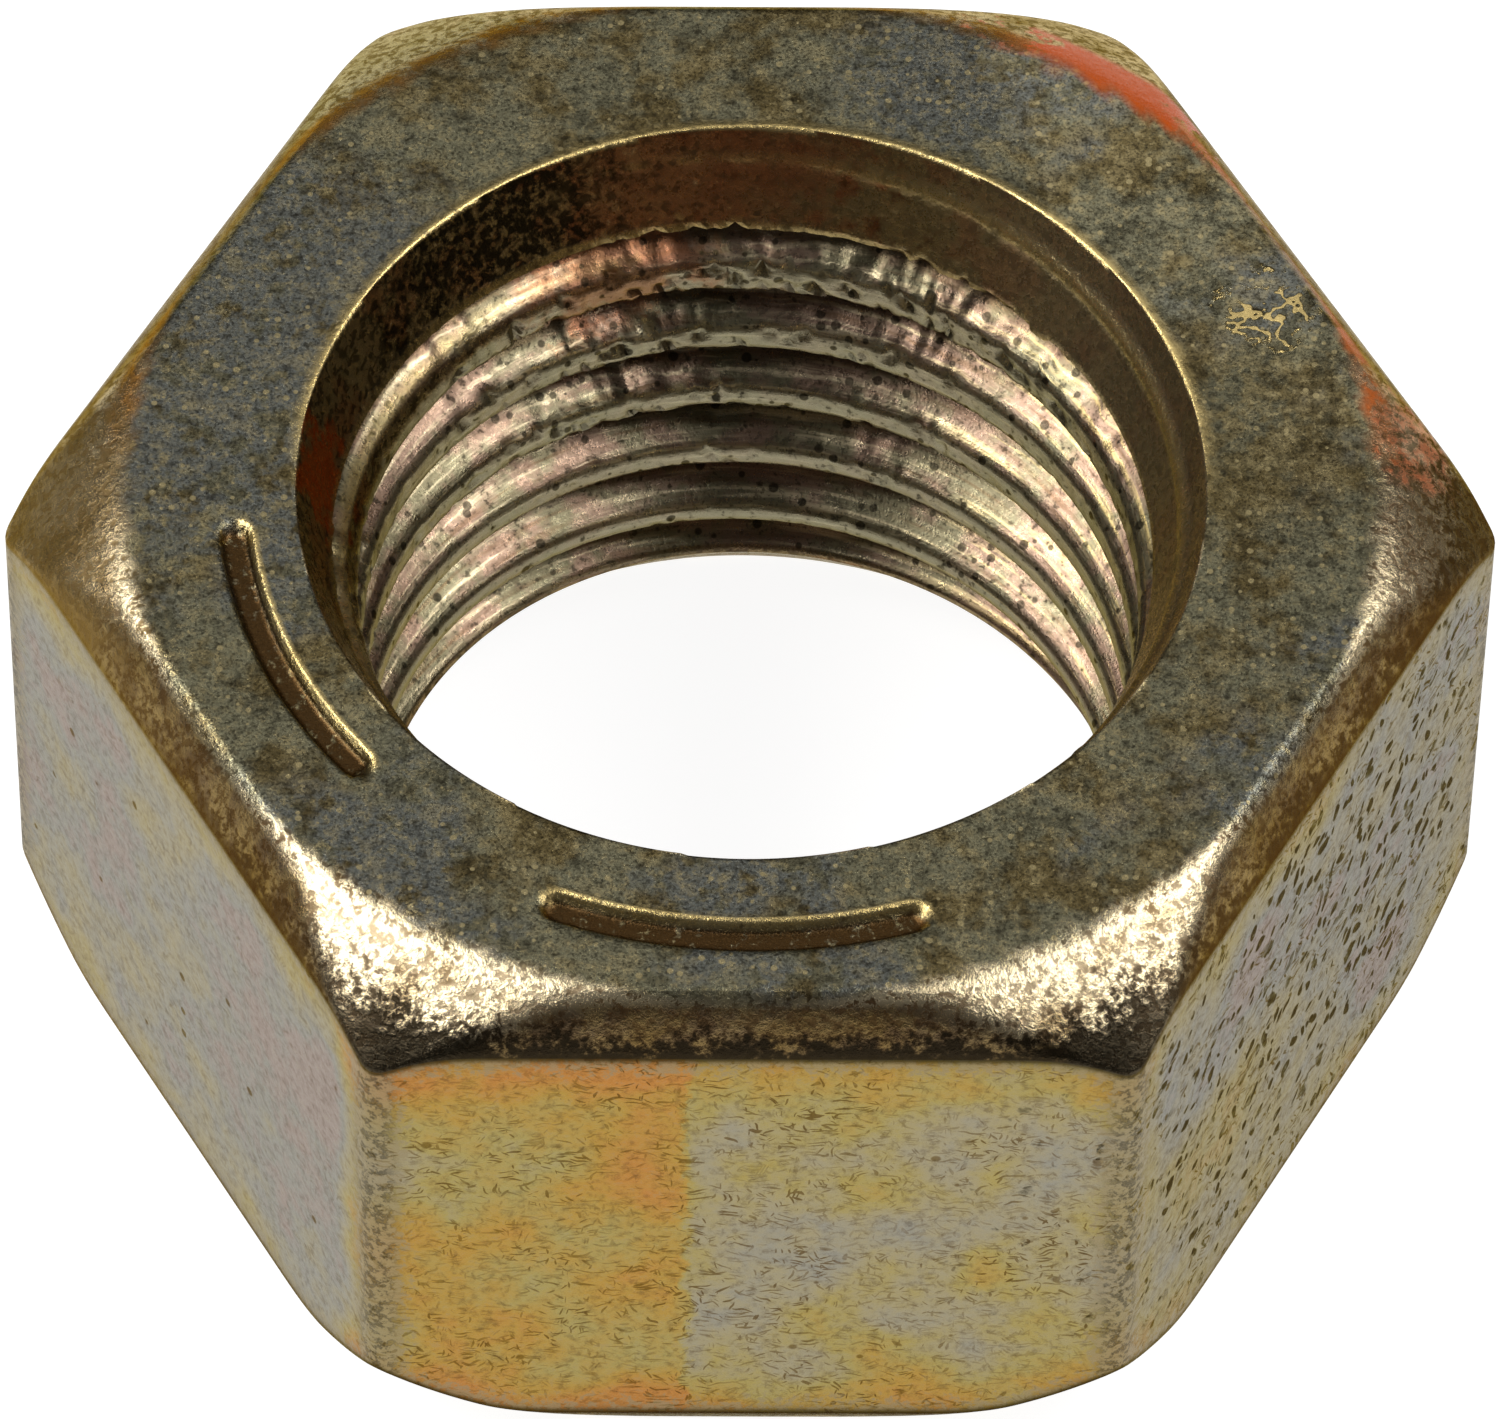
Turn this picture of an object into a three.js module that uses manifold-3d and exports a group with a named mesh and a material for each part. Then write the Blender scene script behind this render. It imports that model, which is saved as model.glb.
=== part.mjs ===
// Plain hexagon nut with a fine right-hand thread, chamfered and countersunk at both ends.
// One forged and tapped piece, in millimetres. The thread axis is +Z, the lower bearing face
// lies on z = 0, two corners lie on the X axis and two flats face +Y and -Y.
import * as THREE from "three";
import { mergeVertices } from "three/addons/utils/BufferGeometryUtils.js";
import Module from "manifold-3d";

// Hexagon blank
const corners = 6;
const acrossFlats = 14.2875; // 9/16 inch
const thickness = 8.334; // 21/64 inch
const cornerRadius = 0.5; // rounding of the six upright edges
const cornerSteps = 3; // half the straight pieces in each rounded upright edge
const rimInset = 0.42; // how far each bearing face stops short of the flats
const rimDrop = 0.7; // height over which the flats round into a bearing face
const rimSteps = 3; // bands in that rounding

// Conical chamfer on the corners, the same at both ends
const bearingMargin = 0.29; // how far inside the flats the chamfer cone meets a bearing face
const chamferAngle = 33; // degrees, from the bearing face

// Thread, 3/8 inch with 24 turns to the inch
const majorDiameter = 9.525;
const threadPitch = 25.4 / 24;
const threadHeightShare = 0.484; // height of the thread as a share of the pitch
const flankAngle = 30; // degrees, half of the thread's included angle
const rootFlatShare = 1 / 8; // share of the pitch that is flat at the root
const grooveGap = 0.02; // half the gap left between two turns of the cutting groove
const turnSteps = 48; // straight pieces in one turn
const threadStart = 270; // degrees from +X, where the root of the thread crosses z = 0

// Countersinks: how far the rim lies outside the root of the thread, and the angle in degrees
// between the wall and the thread axis
const lowerSink = { margin: 0.54, angle: 36 };
const upperSink = { margin: 0.24, angle: 22 };

// Two grade marks pressed into the top face, as arcs of a circle
const markWidth = 0.3;
const markDepth = 0.18;
const markSteps = 14; // straight pieces along each mark
const markEndSteps = 6; // straight pieces round each end
const gradeMarks = [
  { ringShare: 0.37, centre: 204, span: 34 }, // angles in degrees from +X
  { ringShare: 0.6, centre: 268, span: 37 }, // place across the flat ring, 0 at the hole
];

// Sizes that follow from the ones above
const flatReach = acrossFlats / 2;
const bearingRadius = flatReach - bearingMargin;
const majorRadius = majorDiameter / 2;
const minorRadius = majorRadius - threadHeightShare * threadPitch;
const lowerSinkRadius = majorRadius + lowerSink.margin;
const upperSinkRadius = majorRadius + upperSink.margin;
const faceReach = flatReach - rimInset; // a bearing face's edge, beside the middle of a flat

const cutMargin = 1; // how far a cutting shape runs past the face that it opens
const weldDistance = 1e-4; // vertices closer than this are one vertex

const wasm = await Module();
wasm.setup();

const radians = THREE.MathUtils.degToRad;

// A closed three.js geometry as a solid that can be cut.
function toSolid(geometry) {
  const bare = geometry.index ? geometry.toNonIndexed() : geometry.clone();
  bare.deleteAttribute("normal");
  bare.deleteAttribute("uv");
  const merged = mergeVertices(bare, weldDistance);
  return new wasm.Manifold(
    new wasm.Mesh({
      numProp: 3,
      vertProperties: merged.attributes.position.array,
      triVerts: new Uint32Array(merged.index.array),
    }),
  );
}

function toGeometry(solid) {
  const cut = solid.getMesh();
  const geometry = new THREE.BufferGeometry();
  geometry.setAttribute("position", new THREE.BufferAttribute(cut.vertProperties, 3));
  geometry.setIndex(new THREE.BufferAttribute(cut.triVerts, 1));
  const faceted = geometry.toNonIndexed();
  faceted.computeVertexNormals();
  return faceted;
}

// A closed profile of [radius, height] points, turned about the Z axis.
function turned(profile) {
  const points = [...profile, profile[0]].map(([r, z]) => new THREE.Vector2(r, z));
  return toSolid(new THREE.LatheGeometry(points, turnSteps).rotateX(Math.PI / 2));
}

// The sharp hexagon outline, the first corner on +X.
function sharpHexagon() {
  const reach = flatReach / Math.cos(Math.PI / corners);
  const points = [];
  for (let i = 0; i < corners; i += 1) {
    const angle = (2 * Math.PI * i) / corners;
    points.push(new THREE.Vector2(reach * Math.cos(angle), reach * Math.sin(angle)));
  }
  return new THREE.Shape(points);
}

// The same hexagon with its six corners rounded.
function roundedHexagon() {
  const turn = (2 * Math.PI) / corners;
  const arcCentre = (flatReach - cornerRadius) / Math.cos(turn / 2);
  const shape = new THREE.Shape();
  for (let i = 0; i < corners; i += 1) {
    const middle = i * turn;
    const x = arcCentre * Math.cos(middle);
    const y = arcCentre * Math.sin(middle);
    shape.absarc(x, y, cornerRadius, middle - turn / 2, middle + turn / 2, false);
  }
  return shape;
}

// The hexagon prism: the flats round into the two bearing faces, and the upright edges
// are rounded too.
function hexagonPrism() {
  const rimmed = new THREE.ExtrudeGeometry(sharpHexagon(), {
    depth: thickness - 2 * rimDrop,
    bevelEnabled: true,
    bevelThickness: rimDrop,
    bevelSize: rimInset,
    bevelOffset: -rimInset,
    bevelSegments: rimSteps,
  });
  rimmed.translate(0, 0, rimDrop);
  const upright = new THREE.ExtrudeGeometry(roundedHexagon(), {
    depth: thickness + 2 * cutMargin,
    curveSegments: cornerSteps,
    bevelEnabled: false,
  });
  upright.translate(0, 0, -cutMargin);
  return toSolid(rimmed).intersect(toSolid(upright));
}

// The body that the two chamfer cones leave: the blank keeps only what is inside it.
function chamferEnvelope() {
  const waist = thickness / 2;
  const waistRadius = bearingRadius + waist / Math.tan(radians(chamferAngle));
  return turned([
    [0, 0],
    [bearingRadius, 0],
    [waistRadius, waist],
    [bearingRadius, thickness],
    [0, thickness],
  ]);
}

// The tap drill's hole with a countersink at each end.
function drilledHole() {
  const lowerSlope = Math.tan(radians(lowerSink.angle));
  const upperSlope = Math.tan(radians(upperSink.angle));
  return turned([
    [0, -cutMargin],
    [lowerSinkRadius + cutMargin * lowerSlope, -cutMargin],
    [minorRadius, (lowerSinkRadius - minorRadius) / lowerSlope],
    [minorRadius, thickness - (upperSinkRadius - minorRadius) / upperSlope],
    [upperSinkRadius + cutMargin * upperSlope, thickness + cutMargin],
    [0, thickness + cutMargin],
  ]);
}

// A right-hand helix about +Z, run from the top down so that a section with x along the
// radius and y along the axis faces out. Its cross-sections stay upright.
class ThreadHelix extends THREE.Curve {
  constructor(radius, from, to) {
    super();
    this.radius = radius;
    this.from = from;
    this.to = to;
  }

  angleAt(t) {
    const height = this.from + (this.to - this.from) * t;
    return radians(threadStart) + (2 * Math.PI * height) / threadPitch;
  }

  getPoint(t, target = new THREE.Vector3()) {
    const angle = this.angleAt(t);
    const height = this.from + (this.to - this.from) * t;
    return target.set(this.radius * Math.cos(angle), this.radius * Math.sin(angle), height);
  }

  getPointAt(t, target) {
    return this.getPoint(t, target);
  }

  computeFrenetFrames(segments) {
    const frames = { tangents: [], normals: [], binormals: [] };
    for (let i = 0; i <= segments; i += 1) {
      const angle = this.angleAt(i / segments);
      frames.tangents.push(new THREE.Vector3(Math.sin(angle), -Math.cos(angle), 0));
      frames.normals.push(new THREE.Vector3(Math.cos(angle), Math.sin(angle), 0));
      frames.binormals.push(new THREE.Vector3(0, 0, 1));
    }
    return frames;
  }
}

// The groove that the tap cuts: its V section swept up the helix, past both ends.
function threadGroove() {
  const mouthHalf = threadPitch / 2 - grooveGap; // half its width where it opens in the hole
  const rootHalf = (rootFlatShare * threadPitch) / 2;
  const depth = (mouthHalf - rootHalf) / Math.tan(radians(flankAngle));
  const section = new THREE.Shape();
  section.moveTo(-depth, -mouthHalf);
  section.lineTo(0, -rootHalf);
  section.lineTo(0, rootHalf);
  section.lineTo(-depth, mouthHalf);
  section.closePath();
  const stepRise = threadPitch / turnSteps;
  const bottomStep = -turnSteps;
  const topStep = Math.ceil(thickness / stepRise) + turnSteps;
  const path = new ThreadHelix(majorRadius, topStep * stepRise, bottomStep * stepRise);
  return toSolid(
    new THREE.ExtrudeGeometry(section, {
      steps: topStep - bottomStep,
      extrudePath: path,
      bevelEnabled: false,
    }),
  );
}

// One grade mark: an arc-shaped slot with round ends, sunk into the top face.
function gradeMark({ ringShare, centre, span }) {
  const half = markWidth / 2;
  const radius = THREE.MathUtils.lerp(upperSinkRadius + half, faceReach - half, ringShare);
  const from = radians(centre - span / 2);
  const to = radians(centre + span / 2);
  const outline = [];
  const add = (r, angle, cx = 0, cy = 0) =>
    outline.push(new THREE.Vector2(cx + r * Math.cos(angle), cy + r * Math.sin(angle)));
  for (let i = 0; i <= markSteps; i += 1) {
    add(radius + half, from + ((to - from) * i) / markSteps);
  }
  for (let i = 1; i < markEndSteps; i += 1) {
    const angle = to + (Math.PI * i) / markEndSteps;
    add(half, angle, radius * Math.cos(to), radius * Math.sin(to));
  }
  for (let i = markSteps; i >= 0; i -= 1) {
    add(radius - half, from + ((to - from) * i) / markSteps);
  }
  for (let i = 1; i < markEndSteps; i += 1) {
    const angle = from + Math.PI + (Math.PI * i) / markEndSteps;
    add(half, angle, radius * Math.cos(from), radius * Math.sin(from));
  }
  const slot = new THREE.ExtrudeGeometry(new THREE.Shape(outline), {
    depth: markDepth + cutMargin,
    bevelEnabled: false,
  });
  slot.translate(0, 0, thickness - markDepth);
  return toSolid(slot);
}

function nutBody() {
  let body = hexagonPrism().intersect(chamferEnvelope());
  body = body.subtract(drilledHole());
  body = body.subtract(threadGroove());
  for (const mark of gradeMarks) {
    body = body.subtract(gradeMark(mark));
  }
  return toGeometry(body);
}

const yellowZinc = new THREE.MeshStandardMaterial({
  name: "yellow_zinc",
  color: 0x9a8f6d,
  roughness: 0.42,
  metalness: 0.85,
});

const nut = new THREE.Mesh(nutBody(), yellowZinc);
nut.name = "nut_body";

const hexNut = new THREE.Group();
hexNut.name = "hex_nut";
hexNut.add(nut);

export default hexNut;
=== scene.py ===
import math

import bpy
import numpy as np
from mathutils import Matrix, Vector, noise


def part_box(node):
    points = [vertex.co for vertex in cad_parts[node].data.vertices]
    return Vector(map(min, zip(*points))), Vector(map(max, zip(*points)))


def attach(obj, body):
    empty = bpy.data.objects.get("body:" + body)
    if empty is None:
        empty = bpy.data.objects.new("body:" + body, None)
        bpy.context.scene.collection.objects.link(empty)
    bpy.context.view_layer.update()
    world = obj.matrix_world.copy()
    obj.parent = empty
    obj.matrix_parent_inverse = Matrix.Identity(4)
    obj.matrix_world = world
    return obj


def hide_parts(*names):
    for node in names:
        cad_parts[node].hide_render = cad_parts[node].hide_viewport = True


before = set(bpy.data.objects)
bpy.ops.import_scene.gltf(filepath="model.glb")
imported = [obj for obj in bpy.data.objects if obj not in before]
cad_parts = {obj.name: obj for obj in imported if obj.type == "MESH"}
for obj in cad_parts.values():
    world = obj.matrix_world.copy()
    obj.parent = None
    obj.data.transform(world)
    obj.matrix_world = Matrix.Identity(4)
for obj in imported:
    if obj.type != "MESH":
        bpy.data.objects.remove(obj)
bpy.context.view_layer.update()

millimetre = 0.001
boxLow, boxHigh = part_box("nut_body")
nutHeight = (boxHigh.z - boxLow.z) / millimetre
flatReach = (boxHigh.y - boxLow.y) / 2 / millimetre
sideCount = 6
sideTurn = 2 * math.pi / sideCount
flatLength = 2 * math.tan(sideTurn / 2)  # one flat, as a share of flatReach
seedStep = (17.3, -9.1, 5.7)  # each seed reads its own part of the noise


def srgb(red, green, blue):
    # screen colour, 0 to 255, to the linear values that Blender mixes
    def linear(value):
        value = value / 255
        return value / 12.92 if value <= 0.04045 else ((value + 0.055) / 1.055) ** 2.4

    return (linear(red), linear(green), linear(blue), 1.0)


def blendStep(value, low, high):
    t = np.clip((value - low) / (high - low), 0, 1)
    return t * t * (3 - 2 * t)


def softMax(a, b, width):
    # the larger of two heights, with a rounded meeting line
    gap = np.clip(0.5 + 0.5 * (a - b) / width, 0, 1)
    return b + (a - b) * gap + width * gap * (1 - gap)


def noiseAt(points, scale, octaves, seed):
    # seeded solid noise at an array of points, about -1 to 1
    offset = Vector([seed * step for step in seedStep])
    return np.array([noise.fractal(Vector(p) * scale + offset, 1.0, 2.0, octaves) for p in points])


view = {
    "lens": 331.8,
    "sensor": 36,
    "distance": 10.83 * 2 * flatReach * millimetre,
    "elevation": math.radians(54.08),
    "azimuth": math.radians(-1.0),
    "roll": math.radians(1.02),
    "shift": (0.0016, -0.0011),
    "clip": (0.005, 50),
}


def addCamera():
    cameraData = bpy.data.cameras.new("viewCamera")
    cameraData.lens = view["lens"]
    cameraData.sensor_width = view["sensor"]
    cameraData.shift_x, cameraData.shift_y = view["shift"]
    cameraData.clip_start, cameraData.clip_end = view["clip"]
    camera = bpy.data.objects.new("viewCamera", cameraData)
    bpy.context.collection.objects.link(camera)
    azimuth, elevation, roll = view["azimuth"], view["elevation"], view["roll"]
    flatBack = Vector((math.sin(azimuth), -math.cos(azimuth), 0))
    back = flatBack * math.cos(elevation) + Vector((0, 0, math.sin(elevation)))
    right = Vector((math.cos(azimuth), math.sin(azimuth), 0))
    up = back.cross(right)
    rolledRight = right * math.cos(roll) + up * math.sin(roll)
    rolledUp = up * math.cos(roll) - right * math.sin(roll)
    target = Vector((0, 0, nutHeight / 2 * millimetre))
    turn = Matrix((rolledRight, rolledUp, back)).transposed().to_4x4()
    camera.matrix_world = Matrix.Translation(target + back * view["distance"]) @ turn
    bpy.context.scene.camera = camera


addCamera()
print("camera placed")


# lengths are in millimetres, and angles in the lists are in degrees
blank = {
    "edgeRadius": 0.31,  # upright edges
    "rimInset": 0.45,  # how far each bearing face stops short of the flats
    "rimDrop": 0.70,
    "rimStraight": 0.74,  # 0 rounds the rim like a quarter circle, 1 cuts it straight
    "bearingRadius": (flatReach - 0.40, flatReach - 0.29),  # bottom end, top end, as in the next pairs
    "chamferSlope": (0.76, 0.60),
    "coneBlend": 0.05,  # how round the chamfer's inner edge is
    "rimBlend": 0.16,  # how round its outer edge is
    "cornerCurl": (0.45, 0.22),  # how fast the chamfer steepens towards each corner
    "curlStart": 0.1,  # how far outside the flats that begins
}
thread = {
    "pitch": 25.4 / 24,
    "majorRadius": 9.525 / 2,
    "crestRadius": 4.24,
    "crestRound": 0.12,
    "crestTaper": 0.16,  # the hole is a little wider at the top, as punched
    "rootHalf": 0.06,
    "flank": math.tan(math.radians(30)),
    "start": math.radians(243),
}
tears = {
    # where the tap tore the crests: each span runs from no effect to the full effect
    "radius": 4.4,
    "patchScale": 0.5,
    "patchSpan": (-0.1, 0.3),
    "patchGain": (0.2, 0.8),  # outside the patches, and added in them
    "farSpan": (0.7, 0.95),
    "farGain": 0.5,
    "heightSpan": (2.0, 5.5),
    "heightGain": (0.3, 0.7),  # low down, and added near the top
    "chipScale": 6.0,
    "chipSpan": (0.25, 0.7),
    "grain": 0.02,
    "chipDepth": 0.09,
    "wander": 0.05,
    "wanderScale": 4.0,
    "wanderSpan": (0.5, 1.0),
}
sink = {
    "rimRadius": (5.21, 5.0),  # bottom end, top end
    "slope": (0.70, 0.40),
    "blend": 0.025,  # how round the edge between the cone and the thread is
    "lipRise": 0.03,  # the small burr that was pushed up round the rim
    "lipReach": (0.02, 0.12),  # distance outside the rim, full and gone
    "lipSide": (-0.1, 0.35),  # it fades in from the near side to the far side
    "burr": 0.06,  # the torn edge where the first turn of thread starts
    "burrWidth": 0.14,
    "burrRadius": (4.42, 4.52),  # none inside the first, full outside the second
    "burrHeight": (4.0, 4.2),  # none below the first, full above the second
}
marks = {
    "depth": 0.13,
    "halfWidth": 0.2,
    "lipRise": 0.02,
    # the rest of a mark's section, in shares of its half width
    "floorHalf": 0.55,
    "lipMiddle": 0.98,
    "lipWidth": 0.35,
    "lipSide": (-0.2, 0.6),  # the lip stands on the hole's side only
    "arcs": [(5.68, 204, 34), (6.0, 268, 37)],  # radius, middle and span in degrees
}
finishEdges = {
    # where one finish hands over to the next
    "faceBlend": 0.05,  # half the width of the fade from the bearing face to the chamfer
    "rimShare": 0.6,  # how much of the rim's curve the bearing face's finish takes to end
    "chamferBand": (-0.02, 0.12),  # how far below the rounded rim its finish starts and is full
    "flatShare": 0.02,  # share of a flat's height over which its finish comes in
    "hem": (0.15, 1.1),  # full this close to the ends of a flat, and gone this far from them
    "uprightWear": (0.1, 0.5),  # the same, from the upright edges
    "rimWear": (0.05, 0.42),  # the same, from the rims
    "rimWearMost": 0.8,
    "crestBand": (-0.02, 0.05),  # starts and is full where the groove ends this far inside the crest
    "rootBand": (0.2, 0.02),  # how far inside the major radius it starts and is full
    "sinkBlend": 0.03,  # half the width of the fade from the countersink to the thread
}
layout = {
    # rings and columns of the mesh
    "columns": 480,
    "crowding": -0.35,  # draws the columns towards the upright edges
    "rimRings": (0, 0.03, 0.07, 0.15),  # distances outside the countersink's rim
    "faceStart": 0.25,
    "faceEnd": 6.21,  # the last round ring; from there on they turn six-sided
    "faceRings": (6, 24),  # bottom end, and top end with its marks
    "turnRings": 8,
    "roundRings": (0, 0.05, 0.12, 0.22, 0.34, 0.46, 0.58, 0.7, 0.8, 0.9, 1.0),
    "flatRings": 16,
    "flatEnds": (0.006, 0.016, 0.03),  # extra rings close to each end
    "rowsPerTurn": 16,
    "snap": 0.35,  # thread rows closer than this share of a step to a rim join it
    "boreRound": 27.6,  # length once round the thread, for the flat map
    "seamJump": 15,  # a face that is longer than this in the flat map crosses its seam
    "seamSlack": 2,
}


def columnAngles():
    even = np.arange(layout["columns"]) / layout["columns"] * 2 * np.pi
    return even + layout["crowding"] * np.sin(sideCount * even) / sideCount


angles = columnAngles()
cosine, sine = np.cos(angles), np.sin(angles)
fromFlat = (angles % sideTurn) - sideTurn / 2  # turn from the middle of the nearest flat
fromCorner = sideTurn / 2 - np.abs(fromFlat)
perimeter = (np.floor(angles / sideTurn) * flatLength + np.tan(fromFlat)) * flatReach


def hexReach(inset):
    # distance from the axis to the rounded hexagon, for every column
    reach = flatReach - inset
    radius = blank["edgeRadius"]
    centre = (reach - radius) / math.cos(sideTurn / 2)
    inside = np.maximum(radius**2 - (centre * np.sin(fromCorner)) ** 2, 0)
    rounded = centre * np.cos(fromCorner) + np.sqrt(inside)
    touch = math.atan2((reach - radius) * math.tan(sideTurn / 2), reach)
    return np.where(np.abs(fromFlat) > touch, rounded, reach / np.cos(fromFlat))


def dropAt(rho, rimDrop, end):
    # how far a bearing end has fallen at radius rho, with the corner cone worked in
    beyond = rho - blank["bearingRadius"][end]
    cone = softMax(beyond * blank["chamferSlope"][end], np.zeros_like(rho), blank["coneBlend"])
    curl = np.maximum(rho - flatReach - blank["curlStart"], 0) ** 2
    return softMax(cone + blank["cornerCurl"][end] * curl, rimDrop, blank["rimBlend"])


def heightOf(drop, end):
    return nutHeight - drop if end else drop


def onFace(rho, end):
    # 1 on a bearing face, 0 out on the chamfer
    bearing, blend = blank["bearingRadius"][end], finishEdges["faceBlend"]
    return 1 - blendStep(rho, bearing - blend, bearing + blend)


def markDepthAt(x, y):
    # how deep the two pressed arcs lie under a point of the top face, and where their lips stand
    rho = np.hypot(x, y)
    angle = np.degrees(np.arctan2(y, x)) % 360
    depth = np.zeros_like(rho)
    lip = np.zeros_like(rho)
    half = marks["halfWidth"]
    lipFrom, lipTo = marks["lipSide"]
    for radius, middle, span in marks["arcs"]:
        along = np.clip(angle, middle - span / 2, middle + span / 2)
        nearX = radius * np.cos(np.radians(along))
        nearY = radius * np.sin(np.radians(along))
        away = np.hypot(x - nearX, y - nearY)
        depth = np.maximum(depth, 1 - blendStep(away, half * marks["floorHalf"], half))
        inner = blendStep(radius - rho, half * lipFrom, half * lipTo)
        fromLip = np.abs(away - half * marks["lipMiddle"])
        lip = np.maximum(lip, (1 - blendStep(fromLip, 0.0, half * marks["lipWidth"])) * inner)
    return depth, lip


def threadRadius(theta, z, rough):
    # radius of the hole's wall: V grooves of a right-hand thread, blunt crests
    pitch, major = thread["pitch"], thread["majorRadius"]
    turns = z / pitch - (theta - thread["start"]) / (2 * np.pi)
    across = np.abs(turns - np.round(turns)) * pitch
    groove = major - np.maximum(across - thread["rootHalf"], 0) / thread["flank"]
    taper = thread["crestTaper"] * (z / nutHeight - 0.5) * 2
    crest = thread["crestRadius"] + taper + rough
    wall = softMax(groove, crest, thread["crestRound"])
    onCrest = blendStep(crest - groove, *finishEdges["crestBand"])
    rootStart, rootFull = finishEdges["rootBand"]
    inRoot = blendStep(groove, major - rootStart, major - rootFull)
    return wall, onCrest, inRoot


def tearsAt(theta, z):
    # how far the torn crests stand in, and how far the thread wanders up or down there
    around = np.stack([tears["radius"] * np.cos(theta), tears["radius"] * np.sin(theta), z], 1)
    patches = blendStep(noiseAt(around, tears["patchScale"], 1, 3.0), *tears["patchSpan"])
    least, gain = tears["patchGain"]
    tearing = least + gain * patches + tears["farGain"] * blendStep(np.sin(theta), *tears["farSpan"])
    least, gain = tears["heightGain"]
    tearing *= least + gain * blendStep(z, *tears["heightSpan"])
    chips = noiseAt(around, tears["chipScale"], 3, 1.0)
    rough = tearing * (tears["grain"] * chips + tears["chipDepth"] * blendStep(chips, *tears["chipSpan"]))
    wander = tears["wander"] * blendStep(tearing, *tears["wanderSpan"])
    return rough, wander * noiseAt(around, tears["wanderScale"], 3, 7.0)


def sinkRadius(z):
    low = sink["rimRadius"][0] - z * sink["slope"][0]
    high = sink["rimRadius"][1] - (nutHeight - z) * sink["slope"][1]
    return np.maximum(low, high)


# each of these becomes a mesh attribute that the finish reads
maskNames = ["face", "corner", "fall", "flat", "edge", "hem"]
maskNames += ["sink", "lip", "thread", "crest", "root", "mark", "kerf"]


class NutGrid:
    # collects rings of vertices and the faces between them
    def __init__(self):
        self.points = []
        self.masks = []
        self.wraps = []
        self.faces = []
        self.count = 0

    def ring(self, x, y, z, wrapU, wrapV, **mask):
        start = self.count
        total = len(x)
        self.points.append(np.stack([x, y, z], 1))
        self.wraps.append(np.stack([wrapU, wrapV], 1))
        row = np.zeros((total, len(maskNames)))
        for name, value in mask.items():
            row[:, maskNames.index(name)] = value
        self.masks.append(row)
        self.count += total
        return np.arange(start, start + total)

    def strip(self, inner, outer):
        # quads between two whole rings, facing out when inner is on the left going round
        nextInner = np.roll(inner, -1)
        nextOuter = np.roll(outer, -1)
        self.faces += np.stack([inner, outer, nextOuter, nextInner], 1).tolist()


def faceRing(grid, rho, end):
    # a ring on a bearing face, where the marks sink in and the lips stand up
    x, y = rho * cosine, rho * sine
    drop = dropAt(rho, np.zeros(len(rho)), end)
    mark, kerf = markDepthAt(x, y) if end else (0 * x, 0 * x)
    rim = sink["rimRadius"][end]
    lipFull, lipGone = sink["lipReach"]
    lip = (1 - blendStep(rho, rim + lipFull, rim + lipGone)) * blendStep(sine, *sink["lipSide"])
    inward = mark * marks["depth"] - kerf * marks["lipRise"] - lip * sink["lipRise"]
    z = heightOf(drop, end) - inward if end else heightOf(drop, end) + inward
    share = onFace(rho, end)
    return grid.ring(
        x, y, z, perimeter, rho,
        face=share, corner=1 - share, fall=drop, mark=mark, kerf=kerf, lip=lip,
    )


def roundRing(grid, t, end):
    # a ring on the rounded rim, from t = 0 at the bearing face to t = 1 at the flats
    straight = blank["rimStraight"]
    inset = blank["rimInset"] * (1 - math.sin(t * math.pi / 2) * (1 - straight) - t * straight)
    rimDrop = blank["rimDrop"] * ((1 - math.cos(t * math.pi / 2)) * (1 - straight) + t * straight)
    rho = hexReach(inset)
    drop = dropAt(rho, np.full(len(rho), rimDrop), end)
    z = heightOf(drop, end)
    share = onFace(rho, end) * (1 - blendStep(t, 0.0, finishEdges["rimShare"]))
    corner = blendStep(drop - rimDrop, *finishEdges["chamferBand"])
    return grid.ring(rho * cosine, rho * sine, z, perimeter, z, face=share, corner=corner, fall=drop)


def addCap(grid, end):
    # rings from the countersink's rim out to the top of the flats
    rim, faceEnd = sink["rimRadius"][end], layout["faceEnd"]
    even = np.linspace(rim + layout["faceStart"], faceEnd, layout["faceRings"][end])
    rows = [np.full(len(angles), rho) for rho in (*(rim + np.array(layout["rimRings"])), *even)]
    for t in np.linspace(0, 1, layout["turnRings"])[1:-1]:
        rows.append(faceEnd + (hexReach(blank["rimInset"]) - faceEnd) * t)
    rings = [faceRing(grid, rho, end) for rho in rows]
    return rings + [roundRing(grid, t, end) for t in layout["roundRings"]]


def addFlats(grid, topRing, bottomRing):
    # from the top rim down to the bottom rim
    reach = hexReach(0)
    upright = 1 - blendStep(fromCorner * reach, *finishEdges["uprightWear"])
    allPoints = np.concatenate(grid.points)
    topZ, bottomZ = allPoints[topRing, 2], allPoints[bottomRing, 2]
    nearEnd = np.array(layout["flatEnds"])
    even = np.linspace(0, 1, layout["flatRings"])[1:-1]
    previous = topRing
    for t in np.concatenate([nearEnd, even, 1 - nearEnd[::-1]]):
        z = topZ + (bottomZ - topZ) * t
        fromEnd = np.minimum(topZ - z, z - bottomZ)
        hem = 1 - blendStep(fromEnd, *finishEdges["hem"])
        share = blendStep(min(t, 1 - t), 0.0, finishEdges["flatShare"])
        rimWear = finishEdges["rimWearMost"] * (1 - blendStep(fromEnd, *finishEdges["rimWear"]))
        ring = grid.ring(
            reach * cosine, reach * sine, z, perimeter, z,
            flat=share, edge=np.maximum(upright, rimWear), hem=hem, fall=1,
        )
        grid.strip(previous, ring)
        previous = ring
    grid.strip(previous, bottomRing)


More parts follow.
